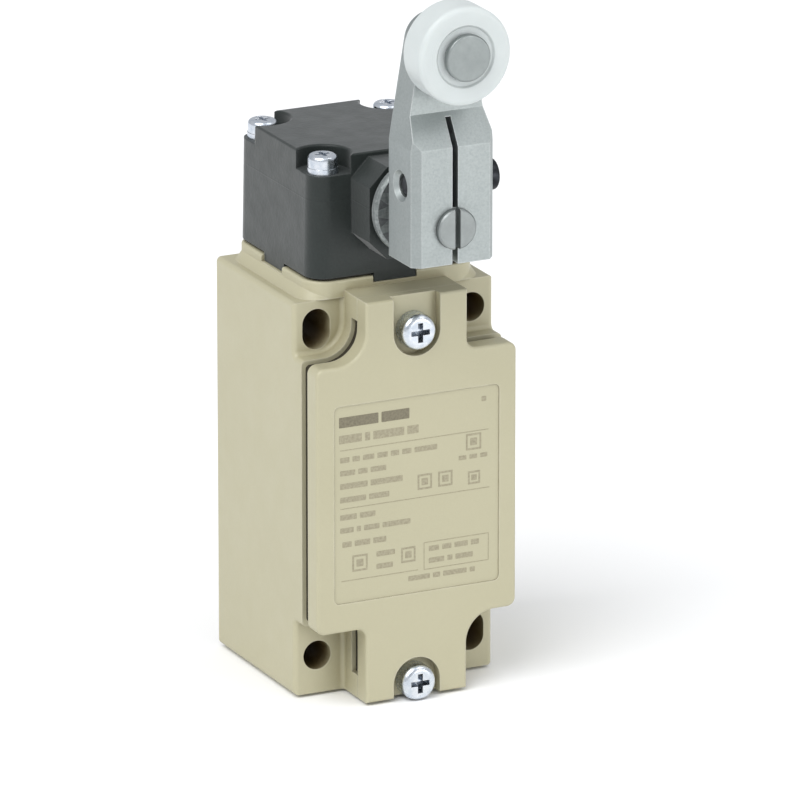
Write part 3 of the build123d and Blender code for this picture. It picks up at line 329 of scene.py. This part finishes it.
def marker_metal():
    """Pressed plate with a fine cross-grained surface."""
    r = Recipe("marker_metal", rounding=0.12 * MM)
    upright = r.noise(0.4 * MM, 1, stretch=(1, 1, 4))
    level = r.noise(0.4 * MM, 1, stretch=(4, 1, 1))
    grid = r.times(upright, level)
    r.set(Base_Color=r.blend(r.spread(grid, 0.1, 0.4), paint(112, 118, 117), paint(150, 155, 154)))
    r.set(Metallic=0.6)
    r.set(Roughness=r.spread(grid, 0.1, 0.4, 0.55, 0.4))
    r.relief(grid, 0.03 * MM)
    return r.material


def bronze():
    """Sintered bronze with open pores."""
    r = Recipe("bronze", rounding=0.1 * MM)
    pores = r.spread(r.cells(0.45 * MM), 0.05, 0.25)
    r.set(Base_Color=r.blend(pores, paint(70, 50, 30), paint(176, 142, 96)))
    r.set(Metallic=r.spread(pores, 0, 1, 0.4, 1.0))
    r.set(Roughness=r.spread(pores, 0, 1, 0.7, 0.4))
    r.relief(pores, 0.02 * MM)
    return r.material


def contact_brass():
    """Rolled brass strip with faint rolling lines and darker stains."""
    r = Recipe("contact_brass", rounding=0.08 * MM)
    lines = r.noise(0.2 * MM, 3, stretch=(8, 1, 1))
    stain = r.spread(r.noise(2.5 * MM, 4), 0.45, 0.75)
    body = r.blend(lines, paint(216, 186, 116), paint(198, 166, 96))
    r.set(Base_Color=r.blend(r.times(stain, 0.5), body, paint(150, 116, 66)))
    r.set(Metallic=1.0)
    r.set(Roughness=r.spread(lines, 0.3, 0.7, 0.25, 0.38))
    r.relief(lines, 0.004 * MM)
    return r.material


def black_rubber():
    """Nitrile rubber: brownish black, matt, with a fine bloom."""
    r = Recipe("black_rubber", rounding=0.15 * MM)
    bloom = r.spread(r.noise(1.2 * MM, 4), 0.4, 0.75)
    r.set(Base_Color=r.blend(r.times(bloom, 0.35), paint(42, 37, 25), paint(76, 69, 50)))
    r.set(Roughness=r.spread(bloom, 0, 1, 0.62, 0.8))
    r.relief(r.noise(0.3 * MM, 3), 0.012 * MM)
    return r.material


def moulded_plastic(name, base, roughness):
    """Thermoset moulding with an eroded texture and paler, rubbed edges."""
    r = Recipe(name, rounding=0.15 * MM)
    body = r.blend(r.noise(5 * MM, 3), paint(*base), paint(*[level * 1.12 for level in base]))
    worn = r.times(r.edges(0.3 * MM), 0.3)
    r.set(Base_Color=r.blend(worn, body, paint(*[min(255, level * 1.7 + 12) for level in base])))
    r.set(Roughness=r.spread(r.noise(0.9 * MM, 4), 0.3, 0.7, roughness, roughness + 0.12))
    r.relief(r.noise(0.35 * MM, 3, 0.6), 0.016 * MM)
    return r.material


def printing_ink(name, dark, pale):
    """Thin printing ink, unevenly laid, as if the paint below shows through a little."""
    r = Recipe(name, rounding=0.02 * MM)
    patchy = r.spread(r.noise(0.45 * MM, 3, 0.6), 0.3, 0.7)
    r.set(Base_Color=r.blend(patchy, paint(*dark), paint(*pale)))
    r.set(Roughness=r.spread(patchy, 0, 1, 0.42, 0.55))
    r.relief(r.noise(0.3 * MM, 2), 0.004 * MM)
    return r.material


def floor_paper():
    """Pale studio paper. It is clear from below, so that the underside can be looked at."""
    r = Recipe("floor_paper", rounding=0.1 * MM)
    r.set(Base_Color=r.blend(r.noise(30 * MM, 4), paint(250, 250, 250), paint(253, 253, 253)))
    r.set(Roughness=0.9, Specular_IOR_Level=0.1)
    r.relief(r.noise(1.5 * MM, 3), 0.01 * MM)
    clear = r.node("ShaderNodeBsdfTransparent").outputs[0]
    below = r.node("ShaderNodeNewGeometry").outputs["Backfacing"]
    both = r.node("ShaderNodeMixShader")
    for socket, value in zip(both.inputs, (below, r.shader.outputs[0], clear)):
        r.feed(socket, value)
    r.feed(r.tree.nodes["Material Output"].inputs["Surface"], both.outputs[0])
    return r.material


FINISHES = {
    "beige_enamel": beige_enamel(),
    "black_rubber": black_rubber(),
    "zinc_steel": plated_steel("zinc_steel", (222, 226, 232), (198, 206, 216), 0.2),
    "dark_casting": dark_casting(),
    "bronze": bronze(),
    "marker_metal": marker_metal(),
    "ground_steel": plated_steel("ground_steel", (178, 182, 182), (160, 164, 165), 0.3),
    "black_steel": plated_steel("black_steel", (58, 60, 64), (44, 45, 48), 0.32),
    "spring_wire": spring_wire(),
    "cast_aluminium": cast_aluminium(),
    "white_nylon": white_nylon(),
    "block_plastic": moulded_plastic("block_plastic", (46, 46, 48), 0.42),
    "carrier_plastic": moulded_plastic("carrier_plastic", (150, 72, 44), 0.38),
    "contact_brass": contact_brass(),
}
TURNED = {
    "roller_pin": turned_steel("pin_steel", "roller_pin", (150, 156, 155)),
    "rotary_shaft": turned_steel("shaft_steel", "rotary_shaft", (154, 159, 158)),
}

for subpart in frame["record"]["subparts"]:
    name = subpart["node"]
    mesh = frame["nodes"][name].data
    mesh.materials.clear()
    mesh.materials.append(TURNED.get(name) or FINISHES[subpart["material_slot"]])


# ---------------------------------------------------------------- mesh helpers


def make_piece(name, mesh, material, body):
    """A finished bmesh as a named object that rides on a CAD body."""
    bmesh.ops.recalc_face_normals(mesh, faces=mesh.faces)
    data = bpy.data.meshes.new(name)
    mesh.to_mesh(data)
    mesh.free()
    data.materials.append(material)
    piece = bpy.data.objects.new(name, data)
    bpy.context.scene.collection.objects.link(piece)
    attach(piece, body)
    return piece


def closed_plate(mesh, outline, back, front):
    """A thin plate in the x-z plane: the outline, given as (x, z) points, from y back to y front."""
    rear = [mesh.verts.new((x, back, z)) for x, z in outline]
    fore = [mesh.verts.new((x, front, z)) for x, z in outline]
    mesh.faces.new(rear)
    mesh.faces.new(list(reversed(fore)))
    for index in range(len(outline)):
        after = (index + 1) % len(outline)
        mesh.faces.new((rear[index], fore[index], fore[after], rear[after]))


def soft_rectangle(x_low, x_high, z_low, z_high, corner, steps=3):
    """Points round a rectangle with small round corners, each turned in this many steps."""
    points = []
    corners = (
        (x_high - corner, z_high - corner, 0),
        (x_low + corner, z_high - corner, 90),
        (x_low + corner, z_low + corner, 180),
        (x_high - corner, z_low + corner, 270),
    )
    for x, z, start in corners:
        for step in range(steps + 1):
            turn = math.radians(start + 90 * step / steps)
            points.append((x + corner * math.cos(turn), z + corner * math.sin(turn)))
    return points


# ---------------------------------------------------------------- printed label on the cover

COVER_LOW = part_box("front_cover")[0]
PANEL_DEPTH = 0.2 * MM
PANEL_FACE = COVER_LOW.y + PANEL_DEPTH
INK_PROUD = 0.02 * MM
INK_SUNK = 0.02 * MM
RULE_WIDTH = 0.14 * MM
BAR_CORNER = 0.12 * MM
RULE_CORNER_SHARE = 0.9
FRAME_CORNER_SHARE = 0.2

# Rows of plain bars that stand for printing: (start x, centre z, bar height, bar lengths), all in mm.
HEADING_ROWS = (
    (-15.0, 15.4, 1.9, (7.6, 5.4)),
)
TEXT_ROWS = (
    (-15.0, 12.3, 1.5, (4.4, 1.0, 6.0, 2.2)),
    (-14.8, 8.5, 0.95, (1.8, 1.4, 2.2, 2.0, 1.6, 1.8, 4.4)),
    (-14.8, 6.1, 0.95, (2.9, 1.8, 3.0)),
    (-14.8, 3.7, 1.05, (5.3, 6.2)),
    (-14.8, 1.2, 1.0, (5.0, 3.9)),
    (-14.8, -2.0, 1.0, (3.2, 3.0)),
    (-14.8, -4.4, 0.95, (2.6, 0.8, 3.0, 5.4)),
    (-14.4, -7.0, 1.0, (1.8, 3.0, 2.5)),
    (-7.8, -9.6, 0.95, (3.6,)),
    (-7.8, -11.9, 0.95, (3.2,)),
    (8.2, 5.7, 0.8, (1.5, 1.5, 1.4)),
    (2.4, -10.1, 0.95, (2.0, 1.8, 2.6, 1.6)),
    (2.4, -12.3, 0.95, (3.0, 1.0, 3.4)),
    (-1.6, -15.1, 0.9, (4.2, 1.4, 4.6, 1.0)),
)
WORD_GAP = 0.6

# Plain square marks: (centre x, centre z, half width), in mm.
SQUARE_MARKS = (
    (11.1, 8.4, 1.5),
    (1.6, 2.4, 1.4),
    (5.6, 2.4, 1.4),
    (11.2, 1.8, 1.2),
    (-11.0, -10.7, 1.5),
    (-1.6, -10.6, 1.4),
)
SQUARE_LINE = 0.35 * MM
SQUARE_CORE_SHARE = 0.45
DOT_MARK = (13.1, 16.0, 0.45)

# Thin ruled lines: (left x, right x, z), in mm.
RULES = (
    (-14.8, 14.0, 10.3),
    (-14.8, 14.2, -0.4),
    (-14.6, 0.3, -13.7),
)

# The ruled box at the lower right: (left x, right x, bottom z, top z), in mm.
BOX_RULE = (1.4, 14.1, -13.9, -8.8)


def ink_bar(mesh, x_low, x_high, z_low, z_high, corner=BAR_CORNER):
    """A bar of ink that stands a little proud of the panel and reaches a little into it."""
    outline = soft_rectangle(x_low, x_high, z_low, z_high, corner)
    closed_plate(mesh, outline, PANEL_FACE + INK_SUNK, PANEL_FACE - INK_PROUD)


def ink_rule(mesh, x_low, x_high, z):
    half = RULE_WIDTH / 2
    ink_bar(mesh, x_low, x_high, z - half, z + half, corner=half * RULE_CORNER_SHARE)


def ink_square(mesh, x, z, half):
    ink_bar(mesh, (x - half) * MM, (x + half) * MM, (z - half) * MM, (z + half) * MM)


def ink_frame(mesh, x_low, x_high, z_low, z_high, width):
    """Four bars round a rectangle, the upright ones between the level ones."""
    corner = width * FRAME_CORNER_SHARE
    ink_bar(mesh, x_low, x_high, z_high - width, z_high, corner)
    ink_bar(mesh, x_low, x_high, z_low, z_low + width, corner)
    ink_bar(mesh, x_low, x_low + width, z_low + width, z_high - width, corner)
    ink_bar(mesh, x_high - width, x_high, z_low + width, z_high - width, corner)


def print_rows(mesh, rows):
    """Rows of bars, each bar one word gap after the last."""
    for start, centre, height, lengths in rows:
        x = start
        for length in lengths:
            half = height / 2
            ink_bar(mesh, x * MM, (x + length) * MM, (centre - half) * MM, (centre + half) * MM)
            x += length + WORD_GAP


heading = bmesh.new()
print_rows(heading, HEADING_ROWS)
dark_ink = printing_ink("dark_ink", (104, 98, 79), (130, 123, 101))
make_piece("label_heading", heading, dark_ink, "housing")

lines = bmesh.new()
print_rows(lines, TEXT_ROWS)
for x, z, half in SQUARE_MARKS:
    ink_frame(lines, (x - half) * MM, (x + half) * MM, (z - half) * MM, (z + half) * MM, SQUARE_LINE)
    ink_square(lines, x, z, half * SQUARE_CORE_SHARE)
ink_square(lines, *DOT_MARK)
pale_ink = printing_ink("pale_ink", (140, 133, 109), (168, 161, 136))
make_piece("label_lines", lines, pale_ink, "housing")

rules = bmesh.new()
for left, right, z in RULES:
    ink_rule(rules, left * MM, right * MM, z * MM)
ink_frame(rules, *[edge * MM for edge in BOX_RULE], RULE_WIDTH)
make_piece("label_rules", rules, pale_ink, "housing")


# ---------------------------------------------------------------- conduit thread

# The opening's radius, and how far its axis lies in front of the box's back, as in the CAD.
BORE_RADIUS = 9.2 * MM
BORE_FORWARD = 16.3 * MM

THREAD_PITCH = 1.5 * MM
THREAD_HEIGHT = 0.4 * MM
THREAD_LENGTH = 12.0 * MM
THREAD_START = 1.2 * MM
THREAD_SUNK = 0.05 * MM
LEAST_HEIGHT_SHARE = 0.02
RUN_OUT_TURNS = 0.5
ROOT_HALF = 0.44 * THREAD_PITCH
CREST_HALF = 0.08 * THREAD_PITCH
STEPS_PER_TURN = 72


def conduit_thread():
    """A helical ridge on the wall of the conduit opening, tapering out at both ends."""
    mesh = bmesh.new()
    turns = THREAD_LENGTH / THREAD_PITCH
    count = int(turns * STEPS_PER_TURN)
    rings = []
    for step in range(count + 1):
        along = step / count
        turn = 2 * math.pi * turns * along
        z = cad_low.z + THREAD_START + THREAD_LENGTH * along
        run_out = min(1.0, along * turns / RUN_OUT_TURNS, (1 - along) * turns / RUN_OUT_TURNS)
        wall = BORE_RADIUS + THREAD_SUNK
        crest = BORE_RADIUS - THREAD_HEIGHT * max(run_out, LEAST_HEIGHT_SHARE)
        section = (
            (wall, -ROOT_HALF),
            (crest, -CREST_HALF),
            (crest, CREST_HALF),
            (wall, ROOT_HALF),
        )
        ring = []
        for radius, rise in section:
            x = radius * math.cos(turn)
            y = -BORE_FORWARD + radius * math.sin(turn)
            ring.append(mesh.verts.new((x, y, z + rise)))
        rings.append(ring)
    for first, second in zip(rings, rings[1:]):
        for index in range(len(first)):
            after = (index + 1) % len(first)
            mesh.faces.new((first[index], first[after], second[after], second[index]))
    mesh.faces.new(rings[0])
    mesh.faces.new(list(reversed(rings[-1])))
    return mesh


make_piece("conduit_thread", conduit_thread(), FINISHES["beige_enamel"], "housing")


# ---------------------------------------------------------------- springs as pieces of their own

SPRINGS = (
    ("return_spring", "plunger_push"),
    ("carrier_spring", "carrier_push"),
)


def shortening_spring(node):
    """The coil as its own piece on the housing, in place of the CAD part, which is hidden."""
    coil = bpy.data.objects.new(node + "_coil", frame["nodes"][node].data.copy())
    bpy.context.scene.collection.objects.link(coil)
    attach(coil, "housing")
    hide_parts(node)
    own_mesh(coil)


for spring, joint in SPRINGS:
    shortening_spring(spring)


# ---------------------------------------------------------------- marks on the marker plate

PLATE_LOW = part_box("position_marker_plate")[0]
SHAFT_LOW, SHAFT_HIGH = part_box("rotary_shaft")
SHAFT_Z = (SHAFT_LOW.z + SHAFT_HIGH.z) / 2
MARK_COUNT = 16
MARK_INNER = 6.2 * MM
MARK_OUTER = 8.2 * MM
MARK_HALF_ANGLE = math.radians(7)

marks = bmesh.new()
for index in range(MARK_COUNT):
    middle = 2 * math.pi * (index + 0.5) / MARK_COUNT
    wedge = []
    for radius, turn in (
        (MARK_INNER, middle),
        (MARK_OUTER, middle - MARK_HALF_ANGLE),
        (MARK_OUTER, middle + MARK_HALF_ANGLE),
    ):
        wedge.append((radius * math.cos(turn), SHAFT_Z + radius * math.sin(turn)))
    closed_plate(marks, wedge, PLATE_LOW.y + INK_SUNK, PLATE_LOW.y - INK_PROUD)
mark_ink = printing_ink("mark_ink", (70, 73, 74), (96, 99, 99))
make_piece("plate_marks", marks, mark_ink, "housing")


# ---------------------------------------------------------------- studio

FLOOR_HALF = 4.0
CUT_INSET = 2.0 * MM
CUT_INSET_FRONT = 8.0 * MM
AIM = Vector((6.8, -20.0, 10.7)) * MM
VIEW_AZIMUTH = math.radians(-26.04)
VIEW_ELEVATION = math.radians(17.76)
VIEW_DISTANCE = 1698.5 * MM
LENS_MM = 433.2
SENSOR_MM = 36.0
CLIP_NEAR = 0.1
CLIP_FAR = 20.0
LAMP_DISTANCE = 1.4
SUN_SPREAD = math.radians(46)
SKY_COLOUR = (0.95, 0.97, 1.0, 1.0)
SKY_STRENGTH = 0.62


def direction(azimuth, elevation):
    """Unit vector from the object towards a viewer: azimuth 0 is in front, positive to the right."""
    level = math.cos(elevation)
    return Vector((math.sin(azimuth) * level, -math.cos(azimuth) * level, math.sin(elevation)))


def make_floor():
    """A sheet under the object, cut out beneath its base so that light reaches the underside."""
    base_low, base_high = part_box("switch_box")
    across = (-FLOOR_HALF, base_low.x + CUT_INSET, base_high.x - CUT_INSET, FLOOR_HALF)
    along = (-FLOOR_HALF, base_low.y + CUT_INSET_FRONT, base_high.y - CUT_INSET, FLOOR_HALF)
    mesh = bmesh.new()
    rows = [[mesh.verts.new((x, y, cad_low.z)) for x in across] for y in along]
    for row in range(3):
        for column in range(3):
            if (row, column) != (1, 1):
                low_side = rows[row][column], rows[row][column + 1]
                high_side = rows[row + 1][column + 1], rows[row + 1][column]
                mesh.faces.new(low_side + high_side)
    data = bpy.data.meshes.new("studio_floor")
    mesh.to_mesh(data)
    mesh.free()
    data.materials.append(floor_paper())
    floor = bpy.data.objects.new("studio_floor", data)
    bpy.context.scene.collection.objects.link(floor)


def make_light(name, azimuth, elevation, width, watts):
    """A soft square lamp that points at the object, from these angles in degrees."""
    data = bpy.data.lights.new(name, "AREA")
    data.shape = "SQUARE"
    data.size = width
    data.energy = watts
    lamp = bpy.data.objects.new(name, data)
    towards = direction(math.radians(azimuth), math.radians(elevation))
    lamp.location = AIM + towards * LAMP_DISTANCE
    lamp.rotation_mode = "QUATERNION"
    lamp.rotation_quaternion = towards.to_track_quat("Z", "Y")
    lamp.visible_camera = False
    bpy.context.scene.collection.objects.link(lamp)


def make_sun(name, azimuth, elevation, strength):
    """A broad even lamp, as from a wall of soft boxes: its shadows have wide soft edges."""
    data = bpy.data.lights.new(name, "SUN")
    data.angle = SUN_SPREAD
    data.energy = strength
    lamp = bpy.data.objects.new(name, data)
    towards = direction(math.radians(azimuth), math.radians(elevation))
    lamp.rotation_mode = "QUATERNION"
    lamp.rotation_quaternion = towards.to_track_quat("Z", "Y")
    bpy.context.scene.collection.objects.link(lamp)


def make_camera():
    """The camera at the photograph's angle, with its distance and lens."""
    data = bpy.data.cameras.new("view_camera")
    data.lens = LENS_MM
    data.sensor_width = SENSOR_MM
    data.clip_start = CLIP_NEAR
    data.clip_end = CLIP_FAR
    camera = bpy.data.objects.new("view_camera", data)
    towards = direction(VIEW_AZIMUTH, VIEW_ELEVATION)
    camera.location = AIM + towards * VIEW_DISTANCE
    camera.rotation_mode = "QUATERNION"
    camera.rotation_quaternion = towards.to_track_quat("Z", "Y")
    bpy.context.scene.collection.objects.link(camera)
    bpy.context.scene.camera = camera


def make_world():
    """An even, slightly cool sky."""
    world = bpy.data.worlds.new("studio_world")
    world.use_nodes = True
    background = world.node_tree.nodes["Background"]
    background.inputs["Color"].default_value = SKY_COLOUR
    background.inputs["Strength"].default_value = SKY_STRENGTH
    bpy.context.scene.world = world


make_floor()
make_sun("key_light", azimuth=-62, elevation=52, strength=1.95)
make_light("front_light", azimuth=26, elevation=2, width=0.6, watts=4.4)
make_light("fill_light", azimuth=40, elevation=51, width=0.8, watts=3.0)
make_camera()
make_world()
bpy.context.scene.view_settings.view_transform = "Standard"
